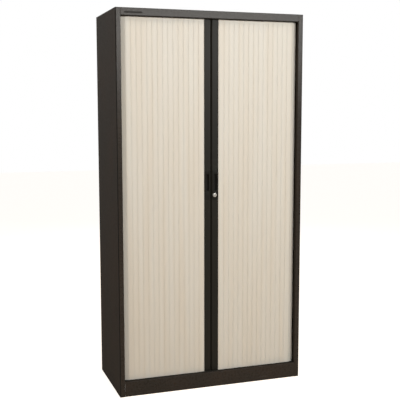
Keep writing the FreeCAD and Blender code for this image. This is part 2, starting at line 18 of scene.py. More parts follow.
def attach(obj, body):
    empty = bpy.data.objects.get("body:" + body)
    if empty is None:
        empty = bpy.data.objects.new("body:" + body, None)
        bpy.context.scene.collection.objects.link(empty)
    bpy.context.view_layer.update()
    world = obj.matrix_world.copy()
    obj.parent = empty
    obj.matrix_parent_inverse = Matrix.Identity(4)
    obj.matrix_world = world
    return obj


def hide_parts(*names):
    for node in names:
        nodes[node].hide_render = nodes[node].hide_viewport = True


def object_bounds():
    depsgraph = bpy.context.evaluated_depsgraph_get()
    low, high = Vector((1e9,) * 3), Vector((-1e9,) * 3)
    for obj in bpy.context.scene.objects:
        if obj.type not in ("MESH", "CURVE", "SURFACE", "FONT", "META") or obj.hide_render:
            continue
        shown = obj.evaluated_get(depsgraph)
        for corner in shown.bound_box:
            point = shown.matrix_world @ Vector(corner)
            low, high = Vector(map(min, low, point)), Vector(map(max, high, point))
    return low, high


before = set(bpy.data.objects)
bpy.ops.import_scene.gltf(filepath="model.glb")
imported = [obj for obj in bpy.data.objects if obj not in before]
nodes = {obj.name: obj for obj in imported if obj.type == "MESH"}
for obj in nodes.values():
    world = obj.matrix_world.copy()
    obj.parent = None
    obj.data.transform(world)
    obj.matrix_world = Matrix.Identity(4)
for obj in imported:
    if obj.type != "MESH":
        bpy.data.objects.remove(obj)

cad_low, cad_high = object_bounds()
MM = 0.001
print("height in metres", round(cad_high.z - cad_low.z, 4))

# %% [markdown]
# ## The camera
# The photograph was taken from the left, a little over four metres away, from just below the middle of the
# upper half. Its place, two directions and its lens were found by matching the corners of the case.

# %% Camera
IMAGE_SIZE = 400
FOCAL_PIXELS = 775.74
SENSOR_WIDTH = 36.0
CAMERA_PLACE = Vector((-1.3683, -4.0324, 1.4779))
CAMERA_FORWARD = Vector((0.32103, 0.94007, -0.11491)).normalized()
CAMERA_RIGHT = Vector((0.94629, -0.32332, -0.00136)).normalized()


def place_camera():
    """the photograph's camera"""
    lens = bpy.data.cameras.new("camera")
    lens.sensor_width = SENSOR_WIDTH
    lens.lens = FOCAL_PIXELS / IMAGE_SIZE * SENSOR_WIDTH
    camera = bpy.data.objects.new("camera", lens)
    up = CAMERA_RIGHT.cross(CAMERA_FORWARD).normalized()
    right = CAMERA_FORWARD.cross(up)
    turn = Matrix((right, up, -CAMERA_FORWARD)).transposed().to_4x4()
    camera.matrix_world = Matrix.Translation(CAMERA_PLACE) @ turn
    bpy.context.scene.collection.objects.link(camera)
    bpy.context.scene.camera = camera
    return camera


print("lens in millimetres", round(place_camera().data.lens, 2))

# %% [markdown]
# ## A few words for node graphs
# A finish is a small graph of nodes, and these helpers name the steps that the finishes share. They read
# Object coordinates, which are the frame's own metres, because every piece sits at the origin. A number
# that is the same all over a surface is set on the shader itself. The first two helpers make a node of any
# kind, also for the Geometry Nodes further on. A socket knows its graph, so most others need none.

# %% Node helpers
MOST = (0.3, 0.7)    # most of a cloud's values lie between these two


def feed(socket, value):
    """a socket gets a link from another socket, a plain number, or a colour without its alpha"""
    if isinstance(value, bpy.types.NodeSocket):
        socket.id_data.links.new(value, socket)
    elif socket.type == "RGBA":
        socket.default_value = (*value, 1.0)
    else:
        socket.default_value = value


def step(graph, kind, inputs=(), **settings):
    """one node: its settings, and a link or a plain value for each input that is named"""
    node = graph.nodes.new(kind)
    for label, value in settings.items():
        setattr(node, label, value)
    for label, value in dict(inputs).items():
        feed(node.inputs[label], value)
    return node


def set_shader(finish, values):
    """sockets of a finish's shader by name, each a link or a plain value"""
    shader = finish.node_tree.nodes["Principled BSDF"]
    for label, value in values.items():
        feed(shader.inputs[label], value)


def new_finish(name, colour, roughness, metallic=0.0, specular=0.5):
    """a material with its plain numbers on the shader's own sockets, and its graph"""
    finish = bpy.data.materials.new(name)
    finish.use_nodes = True
    finish.diffuse_color = (*colour, 1.0)
    set_shader(finish, {"Base Color": colour, "Roughness": roughness, "Metallic": metallic,
                        "Specular IOR Level": specular})
    return finish, finish.node_tree


def complete(finish, colour, roughness, layers):
    """colour, roughness and bumps: each layer is a height, its depth in metres and its strength"""
    normal = None
    for height, depth, strength in layers:
        inputs = {"Height": height, "Distance": depth, "Strength": strength}
        bump = step(finish.node_tree, "ShaderNodeBump", inputs)
        if normal:
            feed(bump.inputs["Normal"], normal)
        normal = bump.outputs["Normal"]
    set_shader(finish, {"Base Color": colour, "Roughness": roughness, "Normal": normal})
    return finish


def position(graph, stretch=(1.0, 1.0, 1.0)):
    """the place of a point on the piece, in metres, stretched"""
    place = step(graph, "ShaderNodeTexCoord").outputs["Object"]
    return step(graph, "ShaderNodeMapping", {"Vector": place, "Scale": stretch}).outputs["Vector"]


def coordinate(graph, axis):
    """one coordinate of the point, in metres"""
    return step(graph, "ShaderNodeSeparateXYZ", {"Vector": position(graph)}).outputs[axis]


def noise(place, scale, detail=2.0, roughness=0.5):
    """a cloud whose features are about one over scale across"""
    inputs = {"Vector": place, "Scale": scale, "Detail": detail, "Roughness": roughness}
    return step(place.id_data, "ShaderNodeTexNoise", inputs).outputs["Fac"]


def spread(value, low, high, to_low=0.0, to_high=1.0):
    """value between low and high becomes a number between two others"""
    inputs = {"Value": value, "From Min": low, "From Max": high, "To Min": to_low, "To Max": to_high}
    return step(value.id_data, "ShaderNodeMapRange", inputs).outputs["Result"]


def chain(operation, first, *others):
    """numbers taken together one after another"""
    graph = first.id_data
    for other in others:
        first = step(graph, "ShaderNodeMath", {0: first, 1: other}, operation=operation).outputs["Value"]
    return first


def product(*numbers):
    """numbers multiplied"""
    return chain("MULTIPLY", *numbers)


def total(*numbers):
    """numbers added"""
    return chain("ADD", *numbers)


def away_from(graph, axis, middle):
    """how far the point is from a level on one axis, in metres"""
    return chain("ABSOLUTE", chain("SUBTRACT", coordinate(graph, axis), middle), 0.0)


def blend(amount, first, second):
    """first where amount is 0 and second where it is 1"""
    inputs = {"Factor": amount, "A": first, "B": second}
    return step(amount.id_data, "ShaderNodeMix", inputs, data_type="RGBA").outputs["Result"]


def scaled(colour, factor):
    """a lighter or darker colour"""
    return tuple(channel * factor for channel in colour)


print("node helpers ready")

# %% [markdown]
# ## The paint of the case
# Cupboards like this are folded from steel sheet, welded, and sprayed with a dark powder that melts into a
# satin skin. Up close the skin is never flat: it flows into an orange peel of one or two millimetres, it is
# a touch thinner and browner in clouds of a quarter of a metre, and grit leaves tiny pinholes. The front
# frame is wiped with the doors, so it is smoother than the sides, which grow duller towards the floor, and
# shoes and brooms scuff the foot. A thin dark line of painted shade runs along the sharp folds of the two
# front corners and of the rail's lower edge, and the paint is duller there. A blank label sits at the left
# end
# of the rail: an oblong of darker skin, as thick as a sticker.

# %% Satin powder paint
CASE_COLOUR = (0.0170, 0.0136, 0.0104)
CASE_WARM = (0.0210, 0.0152, 0.0112)
CASE_SCUFF = (0.0400, 0.0350, 0.0290)
CASE_GLOSS = 0.115
FRONT_ROUGH = (0.25, 0.31)
SIDE_ROUGH = (0.70, 0.78)
DULLER_LOW = 0.22
FRONT_SKIN = -0.2335
PAINT_NOISE = ((4.0, 3.0), (90.0, 4.0), (620.0, 1.0), (2400.0, 0.0))    # scale and detail
SCUFF_HEIGHT = 0.11
SCUFF_STRETCH = (6.0, 6.0, 60.0)
SCUFF_DULLER = 0.2
LABEL_MIDDLE = (-0.4175, 1.9585)
LABEL_HALF = (0.0460, 0.0042)
LABEL_EDGE = 0.0003
LABEL_THICK = 0.00015
LABEL_DARKER = 0.45
LABEL_DULLER = 0.2
FOLD_CORNER = (0.5035, 0.5055)
FOLD_DEPTH = (-0.2270, -0.2300)
FOLD_RAIL = ((1.9455, 1.9430), (1.930, 1.939))
FOLD_ENDS = (0.4835, 0.4815)
# painted shade: the thin line along the folds is painted darker than the skin
FOLD_PAINTED_SHADE = 0.25
FOLD_DULLER = 0.5


def label_mask(graph, wiped):
    """1 inside the blank label on the rail, 0 outside"""
    inside = [spread(away_from(graph, axis, middle), half, half - LABEL_EDGE)
              for axis, middle, half in zip("XZ", LABEL_MIDDLE, LABEL_HALF)]
    return product(*inside, wiped)


def fold_shade_mask(graph, wiped):
    """1 along the two front corners and the lower edge of the rail, where a line of shade is painted"""
    out = away_from(graph, "X", 0.0)
    front = spread(coordinate(graph, "Y"), *FOLD_DEPTH)
    corner = product(spread(out, *FOLD_CORNER), front)
    height = coordinate(graph, "Z")
    edge = [spread(height, *limits) for limits in FOLD_RAIL]
    rail = product(*edge, spread(out, *FOLD_ENDS), wiped)
    return chain("MAXIMUM", corner, rail)


def satin_paint():
    """clouds, orange peel, a wiped front, and scuffs near the floor"""
    finish, graph = new_finish("satin_powder_paint", CASE_COLOUR, SIDE_ROUGH[0], specular=CASE_GLOSS)
    place = position(graph)
    height = coordinate(graph, "Z")
    cloud, grain, peel, pits = [noise(place, *numbers) for numbers in PAINT_NOISE]
    streak = noise(position(graph, SCUFF_STRETCH), 2.0, detail=6.0, roughness=0.7)
    scuffed = product(spread(height, SCUFF_HEIGHT, 0.0), spread(streak, 0.58, 0.72))
    wiped = chain("LESS_THAN", coordinate(graph, "Y"), FRONT_SKIN)
    label = label_mask(graph, wiped)
    fold_shade = fold_shade_mask(graph, wiped)
    colour = blend(spread(cloud, 0.35, 0.65), CASE_COLOUR, CASE_WARM)
    colour = blend(scuffed, colour, CASE_SCUFF)
    colour = blend(label, colour, scaled(CASE_COLOUR, LABEL_DARKER))
    # painted shade: a thin dark line along the two front corners and the rail's lower edge
    colour = blend(fold_shade, colour, scaled(CASE_COLOUR, FOLD_PAINTED_SHADE))
    dull, smooth = [spread(grain, *MOST, *limits) for limits in (SIDE_ROUGH, FRONT_ROUGH)]
    dull = total(dull, spread(height, cad_high.z, 0.0, 0.0, DULLER_LOW))
    smoother = product(wiped, chain("SUBTRACT", dull, smooth))
    rough = total(chain("SUBTRACT", dull, smoother), product(scuffed, SCUFF_DULLER),
                  product(label, LABEL_DULLER), product(fold_shade, FOLD_DULLER))
    pits = spread(pits, 0.70, 0.80)
    layers = [(cloud, 0.0020, 0.10), (peel, 0.00006, 0.55), (pits, -0.00004, 0.5), (label, LABEL_THICK, 1.0)]
    return complete(finish, colour, rough, layers)


CASE_PAINT = satin_paint()
print("finish", CASE_PAINT.name)

# %% [markdown]
# ## The plastic of the curtain
# The slats are long extrusions in cream plastic. The die leaves faint lines along the whole length, the hinge
# grooves are painted paler as painted light that lifts their shade, and no two slats take the colour quite
# alike. The lines follow the slat, so the noise is stretched along Z until it becomes streaks. The slat's
# section stores an attribute later on, which says where the grooves are, so that the painted light goes there
# and nowhere else.

# %% Cream extrusion
CREAM = (0.540, 0.520, 0.480)
CREAM_WARM = (0.532, 0.498, 0.444)
CREAM_GLOSS = 0.22
CREAM_ROUGH = (0.40, 0.52)
# painted light: a paler colour for the hinge grooves, which lifts the shade that falls in them
GROOVE_PAINTED_LIGHT = (0.580, 0.560, 0.520)
GROOVE_LIGHT_AMOUNT = (0.10, 0.60)
GROOVE_LIGHT_DULLER = 0.3
DIE_LINES = (900.0, 900.0, 1.2)
STREAKS = (220.0, 220.0, 0.9)
LOT_STRETCH = (1.0, 1.0, 0.04)
GROOVE_PATCH_STRETCH = (1.0, 1.0, 0.5)
GROOVE_PATCH_SCALE = 60.0
GROOVE = "groove"
PITCH = 27.5


def cream_plastic():
    """die lines along Z, a slight change from slat to slat, painted light in the hinge grooves"""
    finish, graph = new_finish("cream_curtain_plastic", CREAM, roughness=0.46, specular=CREAM_GLOSS)
    lot = noise(position(graph, LOT_STRETCH), 0.9 / (PITCH * MM), detail=0.0)
    colour = blend(spread(lot, *MOST), CREAM, CREAM_WARM)
    streaks = noise(position(graph, STREAKS), 1.0, detail=3.0)
    colour = blend(spread(streaks, 0.45, 0.85, 0.0, 0.35), colour, CREAM_WARM)
    groove = step(graph, "ShaderNodeAttribute", attribute_name=GROOVE).outputs["Fac"]
    groove_patches = noise(position(graph, GROOVE_PATCH_STRETCH), GROOVE_PATCH_SCALE, detail=4.0)
    # painted light in the hinge grooves, in patches, which also makes them a touch duller
    groove_light = product(groove, spread(groove_patches, 0.2, 0.8, *GROOVE_LIGHT_AMOUNT))
    colour = blend(groove_light, colour, GROOVE_PAINTED_LIGHT)
    lines = noise(position(graph, DIE_LINES), 1.0)
    rough = total(spread(lines, *MOST, *CREAM_ROUGH), product(groove_light, GROOVE_LIGHT_DULLER))
    return complete(finish, colour, rough, [(lines, 0.00003, 0.5)])


CURTAIN_PLASTIC = cream_plastic()
print("finish", CURTAIN_PLASTIC.name)

# %% [markdown]
# ## The meeting stiles and the moulded parts
# Where the two leaves meet, each ends in a dark extruded stile. Its streaks run the full height, and hands
# polish it beside the finger pulls. The pulls are moulded, so they are even, a little blacker, and carry
# the fine spark texture of their tool.

# %% Dark extrusion and moulded black
STILE_COLOUR = (0.0115, 0.0108, 0.0085)
STILE_WORN = (0.0210, 0.0200, 0.0170)
STILE_GLOSS = 0.07
STILE_ROUGH = (0.36, 0.44)
DRAW_LINES = (1400.0, 1400.0, 1.5)
HAND_HEIGHT = 1.09
HAND_REACH = 0.28
HAND_SCALE = 55.0
HAND_POLISH = 0.12
PULL_COLOUR = (0.0070, 0.0068, 0.0056)
TRACK_COLOUR = (0.022, 0.022, 0.020)
FOOT_COLOUR = (0.020, 0.020, 0.019)
MOULDED_GLOSS = 0.06
MOULDED_LIGHTER = 1.25
MOTTLE_SCALE = 30.0


def dark_extrusion():
    """drawn stile: streaks along its height, and a patch that hands have polished"""
    finish, graph = new_finish("dark_stile_extrusion", STILE_COLOUR, roughness=0.40, specular=STILE_GLOSS)
    draw = noise(position(graph, DRAW_LINES), 1.0, detail=3.0)
    touched = spread(away_from(graph, "Z", HAND_HEIGHT), HAND_REACH, 0.0)
    patches = noise(position(graph), HAND_SCALE, detail=5.0)
    worn = product(touched, spread(patches, 0.5, 0.75))
    rough = spread(draw, *MOST, *STILE_ROUGH)
    rough = chain("SUBTRACT", rough, product(worn, HAND_POLISH))
    colour = blend(worn, STILE_COLOUR, STILE_WORN)
    return complete(finish, colour, rough, [(draw, 0.00003, 0.6)])


def moulded_plastic(name, colour, roughness, grain_scale=1500.0):
    """an even moulding with the spark-eroded grain of its tool"""
    finish, graph = new_finish(name, colour, roughness, specular=MOULDED_GLOSS)
    grain, mottle = [noise(position(graph), scale) for scale in (grain_scale, MOTTLE_SCALE)]
    colour = blend(spread(mottle, *MOST), colour, scaled(colour, MOULDED_LIGHTER))
    rough = spread(grain, *MOST, roughness - 0.06, roughness + 0.08)
    return complete(finish, colour, rough, [(grain, 0.00005, 0.7)])


STILE_FINISH = dark_extrusion()
PULL_FINISH = moulded_plastic("moulded_black_pull", PULL_COLOUR, 0.42)
TRACK_FINISH = moulded_plastic("track_nylon", TRACK_COLOUR, 0.38, 900.0)
FOOT_FINISH = moulded_plastic("foot_moulding", FOOT_COLOUR, 0.55)
print("finishes", STILE_FINISH.name, PULL_FINISH.name, TRACK_FINISH.name, FOOT_FINISH.name)

# %% [markdown]
# ## Plated metal
# The lock is satin chrome over a die casting, with hairlines that keys leave round the slot. The hook, the
# clips, the screws and the stems of the feet are zinc plated and passivated. Zinc has a faint yellow bloom in
# patches a few millimetres across, and chrome a slightly browner one.

# %% Chrome and zinc
CHROME = (0.340, 0.325, 0.300)
CHROME_BLOOM = (0.300, 0.290, 0.275)
ZINC = (0.470, 0.480, 0.490)
ZINC_YELLOW = (0.520, 0.490, 0.390)
STEM_ZINC = (0.410, 0.415, 0.420)
STEM_YELLOW = (0.450, 0.430, 0.370)
BLOOM_SCALE = 140.0
HAIRLINES = (300.0, 300.0, 5200.0)


def plated(name, colour, bloom, roughness, scratch_depth):
    """plated metal: a bloom of a second colour in patches, and fine hairlines"""
    finish, graph = new_finish(name, colour, roughness, metallic=1.0)
    patches = noise(position(graph), BLOOM_SCALE, detail=3.0)
    colour = blend(spread(patches, 0.4, 0.65), colour, bloom)
    hair = noise(position(graph, HAIRLINES), 1.0)
    rough = spread(hair, *MOST, roughness * 0.8, roughness * 1.3)
    return complete(finish, colour, rough, [(hair, scratch_depth, 0.5)])


CHROME_FINISH = plated("lock_chrome_plate", CHROME, CHROME_BLOOM, 0.24, 0.00001)
ZINC_FINISH = plated("zinc_plate", ZINC, ZINC_YELLOW, 0.32, 0.00002)
STEM_FINISH = plated("foot_stem_zinc", STEM_ZINC, STEM_YELLOW, 0.36, 0.00002)
print("finishes", CHROME_FINISH.name, ZINC_FINISH.name, STEM_FINISH.name)

# %% [markdown]
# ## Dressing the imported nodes
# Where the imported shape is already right, a piece only needs its finish, which goes into the material slots
# of its own mesh. The last word of a node's name says what it is made of. Nothing is moved.

# %% Finishes for the nodes that stay
FINISH_OF = dict.fromkeys(("panel", "pan", "liner", "shelf"), CASE_PAINT)
FINISH_OF.update({"stile": STILE_FINISH, "track": TRACK_FINISH, "clips": ZINC_FINISH, "hook": ZINC_FINISH})

dressed = []
for name, node in nodes.items():
    finish = FINISH_OF.get(name.rstrip("_1234").split("_")[-1])
    if finish:
        if not node.material_slots:
            node.data.materials.append(finish)
        for slot in node.material_slots:
            slot.material = finish
        dressed.append(name)
print("dressed nodes", len(dressed))

# %% [markdown]
# ## Words for building meshes
# The small parts here are stacks of closed loops: a turned ring, a dome, the wall of a hole. The loops of one
# stack have the same number of points, and neighbours are joined by quads. The flat faces between stacks are
# filled with triangles that leave their holes open, and the seams are welded. That makes a closed skin with
# outward faces, which a sharp-edge angle then splits into smooth and crisp. A piece that Geometry Nodes build
# becomes a plain mesh of its own with new_from_object.

# %% Mesh helpers
WELD = 0.00002
WALL_EDGE = 28.0
TREE_EDGE = 30.0


def link(name, mesh, finish=None):
    """an object at the origin for a mesh, with its finish"""
    piece = bpy.data.objects.new(name, mesh)
    bpy.context.scene.collection.objects.link(piece)
    if finish:
        mesh.materials.clear()
        mesh.materials.append(finish)
    return piece


def seed_mesh(points, edges=()):
    """bare points, given in millimetres, and the edges between them, for a tree to work on"""
    mesh = bpy.data.meshes.new("seeds")
    mesh.from_pydata([tuple(v * MM for v in point) for point in points], list(edges), [])
    return mesh


def signed_volume(mesh):
    """the volume inside the faces, negative where they look inward"""
    build = bmesh.new()
    build.from_mesh(mesh)
    volume = build.calc_volume(signed=True)
    build.free()
    return volume


def crisp_outward(mesh, edge_angle):
    """faces outward, and smooth but for edges sharper than the angle"""
    if signed_volume(mesh) < 0.0:
        mesh.flip_normals()
    for face in mesh.polygons:
        face.use_smooth = True
    mesh.set_sharp_from_angle(angle=math.radians(edge_angle))
    return mesh


def mirrored(mesh, name):
    """the mesh on the other side of the middle plane, faces still outward"""
    copy = mesh.copy()
    copy.name = name
    copy.transform(Matrix.Scale(-1.0, 4, Vector((1.0, 0.0, 0.0))))
    copy.flip_normals()
    return copy


def turns(start, end, steps):
    """angles in radians between two angles in degrees, ends included"""
    return [math.radians(start + (end - start) * i / steps) for i in range(steps + 1)]


def arc(cx, cy, radius, start, end, steps, rise=None):
    """points on an arc between two angles in degrees, or on an oval's where the rise is given"""
    rise = radius if rise is None else rise
    return [(cx + radius * math.cos(turn), cy + rise * math.sin(turn)) for turn in turns(start, end, steps)]


def oblong(x_range, z_range, radius, grow=0.0, steps=6):
    """a rectangle with round corners, grown all round, as (x, z) points"""
    radius += grow
    left, right = x_range[0] - grow + radius, x_range[1] + grow - radius
    low, high = z_range[0] - grow + radius, z_range[1] + grow - radius
    points = []
    for x, z, start in ((right, low, -90.0), (right, high, 0.0), (left, high, 90.0), (left, low, 180.0)):
        points += arc(x, z, radius, start, start + 90.0, steps)
    return points


def at_depth(outline, y):
    """an (x, z) outline at a depth, millimetres made metres"""
    return [(x * MM, y * MM, z * MM) for x, z in outline]


def at_height(outline, z):
    """an (x, y) outline at a height, millimetres made metres"""
    return [(x * MM, y * MM, z * MM) for x, y in outline]


def turned(profile, count, x=0.0, y=0.0, place=at_height):
    """a stack of circles from a profile of (radius, level) pairs"""
    angles = [math.tau * i / count for i in range(count)]
    return [place([(x + radius * math.cos(a), y + radius * math.sin(a)) for a in angles], level)
            for radius, level in profile]


def thread(radius, depth, pitch, start, stop):
    """crests and roots of a thread from one level towards another, as (radius, level) pairs"""
    pairs = []
    while (stop - start) * pitch > 0.0:
        pairs += [(radius, start), (radius - depth, start + pitch / 2.0)]
        start += pitch
    return pairs


def eased(outline_at, radius, y_flat, steps):
    """loops that turn from a flat face at y_flat into a wall behind it, with outline_at(inset)"""
    return [at_depth(outline_at(radius * (1.0 - math.sin(turn))), y_flat + radius * (1.0 - math.cos(turn)))
            for turn in turns(0.0, 90.0, steps)]


def walled_mesh(name, walls, flats):
    """closed skin from walls, each a stack of loops, and flats, each the loops round one flat face"""
    build = bmesh.new()

    def ring(loop):
        verts = [build.verts.new(point) for point in loop]
        return verts, [build.edges.new(pair) for pair in zip(verts, verts[1:] + verts[:1])]

    for stack in walls:
        rings = [ring(loop)[0] for loop in stack]
        for near, far in zip(rings, rings[1:]):
            for i in range(len(near)):
                j = (i + 1) % len(near)
                build.faces.new((near[i], near[j], far[j], far[i]))
    for loops in flats:
        edges = [edge for loop in loops for edge in ring(loop)[1]]
        bmesh.ops.triangle_fill(build, use_beauty=True, use_dissolve=False, edges=edges)
    bmesh.ops.remove_doubles(build, verts=build.verts, dist=WELD)
    bmesh.ops.recalc_face_normals(build, faces=build.faces)
    open_edges = sum(1 for edge in build.edges if len(edge.link_faces) != 2)
    mesh = bpy.data.meshes.new(name)
    build.to_mesh(mesh)
    build.free()
    print(name, "faces", len(mesh.polygons), "open edges", open_edges)
    return crisp_outward(mesh, WALL_EDGE)


def tree_mesh(tree, mesh, values, name):
    """what a tree makes of a mesh, with its inputs set by their sockets' identifiers"""
    holder = link(tree.name, mesh)
    modifier = holder.modifiers.new(tree.name, "NODES")
    modifier.node_group = tree
    for item in tree.interface.items_tree:
        if item.in_out == "INPUT" and item.name in values:
            modifier[item.identifier] = values[item.name]
    graph = bpy.context.evaluated_depsgraph_get()
    graph.update()
    made = bpy.data.meshes.new_from_object(holder.evaluated_get(graph), depsgraph=graph)
    made.name = name
    bpy.data.objects.remove(holder)
    return crisp_outward(made, TREE_EDGE)


def add_piece(name, mesh, body, stands_for, finish=None):
    """a finished piece: rides on a body and stands for its nodes, which are hidden"""
    piece = link(name, mesh, finish)
    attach(piece, body)
    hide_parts(*stands_for)
    return piece


print("mesh helpers ready")

# %% [markdown]
# ## One slat, thirty-four times
# A roll front is one section repeated. A die pushes out a long hollow strip with a crown in front, two short
# legs behind, a bead along one edge and a socket along the other, and the bead of each slat snaps into the
# socket of the next. So the lesson draws the section once, and Geometry Nodes extrude it to the height of
# the curtain and place it on the curtain's path: a straight line, a corner of 42 mm radius and a straight
# line back. Fillet Curve makes the corner, and Sample Curve finds where each slat begins and ends, so one
# tree with two numbers makes every slat. The numbers are worked out first: a rigid slat is a chord, so the
# next hinge is where the straight distance, not the way round, is one pitch.

# %% Path of the curtain
SIDES = {"left": -1.0, "right": 1.0}
LEAF_SLATS = 17
ARC_START = 452.0
CORNER_RADIUS = 42.0
ARC_Y = -164.0
CURTAIN_Y = -206.0
SIDE_LINE = 494.0
BACK_END = 230.0
FIRST_JOINT = 42.25
HALVINGS = 60
ARC_LENGTH = CORNER_RADIUS * math.pi / 2.0


def path_point(run):
    """the curtain's middle line at a way from the middle of the front, in millimetres"""
    if run <= ARC_START:
        return Vector((run, CURTAIN_Y, 0.0))
    if run <= ARC_START + ARC_LENGTH:
        angle = (run - ARC_START) / CORNER_RADIUS
        x = ARC_START + CORNER_RADIUS * math.sin(angle)
        return Vector((x, ARC_Y - CORNER_RADIUS * math.cos(angle), 0.0))
    return Vector((SIDE_LINE, ARC_Y + run - ARC_START - ARC_LENGTH, 0.0))


def next_joint(run):
    """the run at which the straight distance from the last hinge is one pitch"""
    low, high = run + 0.5 * PITCH, run + 1.5 * PITCH
    for _ in range(HALVINGS):
        middle = (low + high) / 2.0
        if (path_point(middle) - path_point(run)).length < PITCH:
            low = middle
        else:
            high = middle
    return high


slat_runs = [FIRST_JOINT]
while len(slat_runs) <= LEAF_SLATS:
    slat_runs.append(next_joint(slat_runs[-1]))
print("hinges along the path in millimetres", [round(run, 1) for run in slat_runs])

# %% [markdown]
# The section is a closed outline in the slat's own plane: u runs along the curtain and v into the cupboard.
# The socket is a ring of three quarters, open towards its neighbour's bead. The crown is very slightly domed
# and ends in thin lips that reach over the hinge, so from the front a joint shows as two fine lines. Every
# point also says how deep in a hinge it is, which the cream plastic reads for its painted groove light.

# %% Section of a slat
CROWN_HALF = 10.0
CROWN_FRONT = -4.0
CROWN_BACK = 4.0
SKIN = 1.6
CROWN_RISE = 0.2
LIP_REACH = 1.9
LIP_RADIUS = 0.4
HINGE_CENTRE = PITCH / 2.0
WEB_HALF = 1.2
NECK_HALF = 0.8
BEAD_RADIUS = 1.8
RING_OUTER = 3.4
RING_INNER = 2.1
MOUTH_FROM = 110.0
MOUTH_TO = -148.0


def slat_outline():
    """a slat's closed outline: u, v in millimetres, and how deep in a hinge the point is"""
    neck = math.degrees(math.asin(NECK_HALF / BEAD_RADIUS))
    web = math.degrees(math.asin(WEB_HALF / RING_OUTER))
    inner = CROWN_HALF - SKIN
    under = CROWN_FRONT + SKIN
    bead = arc(HINGE_CENTRE, 0.0, BEAD_RADIUS, 180.0 + neck, 540.0 - neck, 20)
    ring = arc(-HINGE_CENTRE, 0.0, RING_OUTER, web, MOUTH_FROM, 10)
    ring += arc(-HINGE_CENTRE, 0.0, RING_INNER, MOUTH_FROM, MOUTH_TO, 20)
    ring += arc(-HINGE_CENTRE, 0.0, RING_OUTER, MOUTH_TO, -web, 12)
    lip = CROWN_HALF + LIP_REACH - LIP_RADIUS
    level = CROWN_FRONT + CROWN_RISE + LIP_RADIUS
    crown = [(-CROWN_HALF, level + LIP_RADIUS)] + arc(-lip, level, LIP_RADIUS, 90.0, 266.0, 8)
    for i in range(1, 12):
        share = i / 6.0 - 1.0
        crown.append((lip * share, CROWN_FRONT + CROWN_RISE * share * share))
    crown += arc(lip, level, LIP_RADIUS, 274.0, 450.0, 8) + [(CROWN_HALF, level + LIP_RADIUS)]
    hinge = [(CROWN_HALF, -NECK_HALF)] + bead + [(CROWN_HALF, NECK_HALF)]
    points = [(u, v, 0.0) for u, v in crown] + [(u, v, 1.0) for u, v in hinge]
    points += [(CROWN_HALF, CROWN_BACK, 0.0), (inner, CROWN_BACK, 0.0), (inner, under, 0.3)]
    points += [(-inner, under, 0.3), (-inner, CROWN_BACK, 0.0), (-CROWN_HALF, CROWN_BACK, 0.0)]
    points.append((-CROWN_HALF, WEB_HALF, 0.6))
    points += [(u, v, max(0.0, 1.0 + v / RING_OUTER)) for u, v in ring] + [(-CROWN_HALF, -WEB_HALF, 1.0)]
    return points


def section_holder():
    """the outline as a closed loop of edges that carries the groove number"""
    outline = slat_outline()
    count = len(outline)
    mesh = seed_mesh([(u, v, 0.0) for u, v, _ in outline], [(i, (i + 1) % count) for i in range(count)])
    depth = mesh.attributes.new(GROOVE, "FLOAT", "POINT")
    for i, (_, _, groove) in enumerate(outline):
        depth.data[i].value = groove
    return link("slat_section", mesh)


SECTION = section_holder()
print("points in the section", len(SECTION.data.vertices))

# %% [markdown]
# The tree itself has three branches: the extruded section, the pins that run on above and below the slat into
# the tracks, and the two plugs that close its ends. They are joined, turned to the chord and moved onto it.

# %% Geometry Nodes tree of a slat
CURTAIN_BOTTOM = 80.5
CURTAIN_TOP = 1940.5
GUIDE_BOTTOM = 71.3
GUIDE_TOP = 1948.0
GUIDE_OVERLAP = 1.0
GUIDE_SIDES = 24
CORNER_POINTS = 40
PLUG_HEIGHT = 12.0
PLUG_DEPTH = 5.4
PLUG_INSET = 0.1


def new_tree(name, inputs):
    """a Geometry Nodes group with the named inputs, and their sockets"""
    tree = bpy.data.node_groups.new(name, "GeometryNodeTree")
    rows = [("Geometry", "INPUT", "Geometry"), ("Geometry", "OUTPUT", "Geometry")]
    for label, in_out, kind in rows + [(label, "INPUT", kind) for label, kind in inputs]:
        tree.interface.new_socket(label, in_out=in_out, socket_type="NodeSocket" + kind)
    return tree, step(tree, "NodeGroupInput").outputs


def shape(tree, kind, inputs=(), out="Geometry", **settings):
    """what one Geometry Nodes step puts out"""
    return step(tree, "GeometryNode" + kind, inputs, **settings).outputs[out]


def joined(tree, pieces):
    """several geometries as one"""
    whole = step(tree, "GeometryNodeJoinGeometry")
    for piece in pieces:
        feed(whole.inputs["Geometry"], piece)
    return whole.outputs["Geometry"]


def upright_turn(tree, angle):
    """a rotation about the vertical axis"""
    euler = step(tree, "ShaderNodeCombineXYZ", {"Z": angle}).outputs["Vector"]
    return step(tree, "FunctionNodeEulerToRotation", {"Euler": euler}).outputs["Rotation"]


def finished(tree, geometry, finish):
    """instances made real, with their finish"""
    real = shape(tree, "RealizeInstances", {"Geometry": geometry})
    return shape(tree, "SetMaterial", {"Geometry": real, "Material": finish})


def put_out(tree, geometry):
    """the tree, with this as what it makes"""
    step(tree, "NodeGroupOutput", {"Geometry": geometry})
    return tree


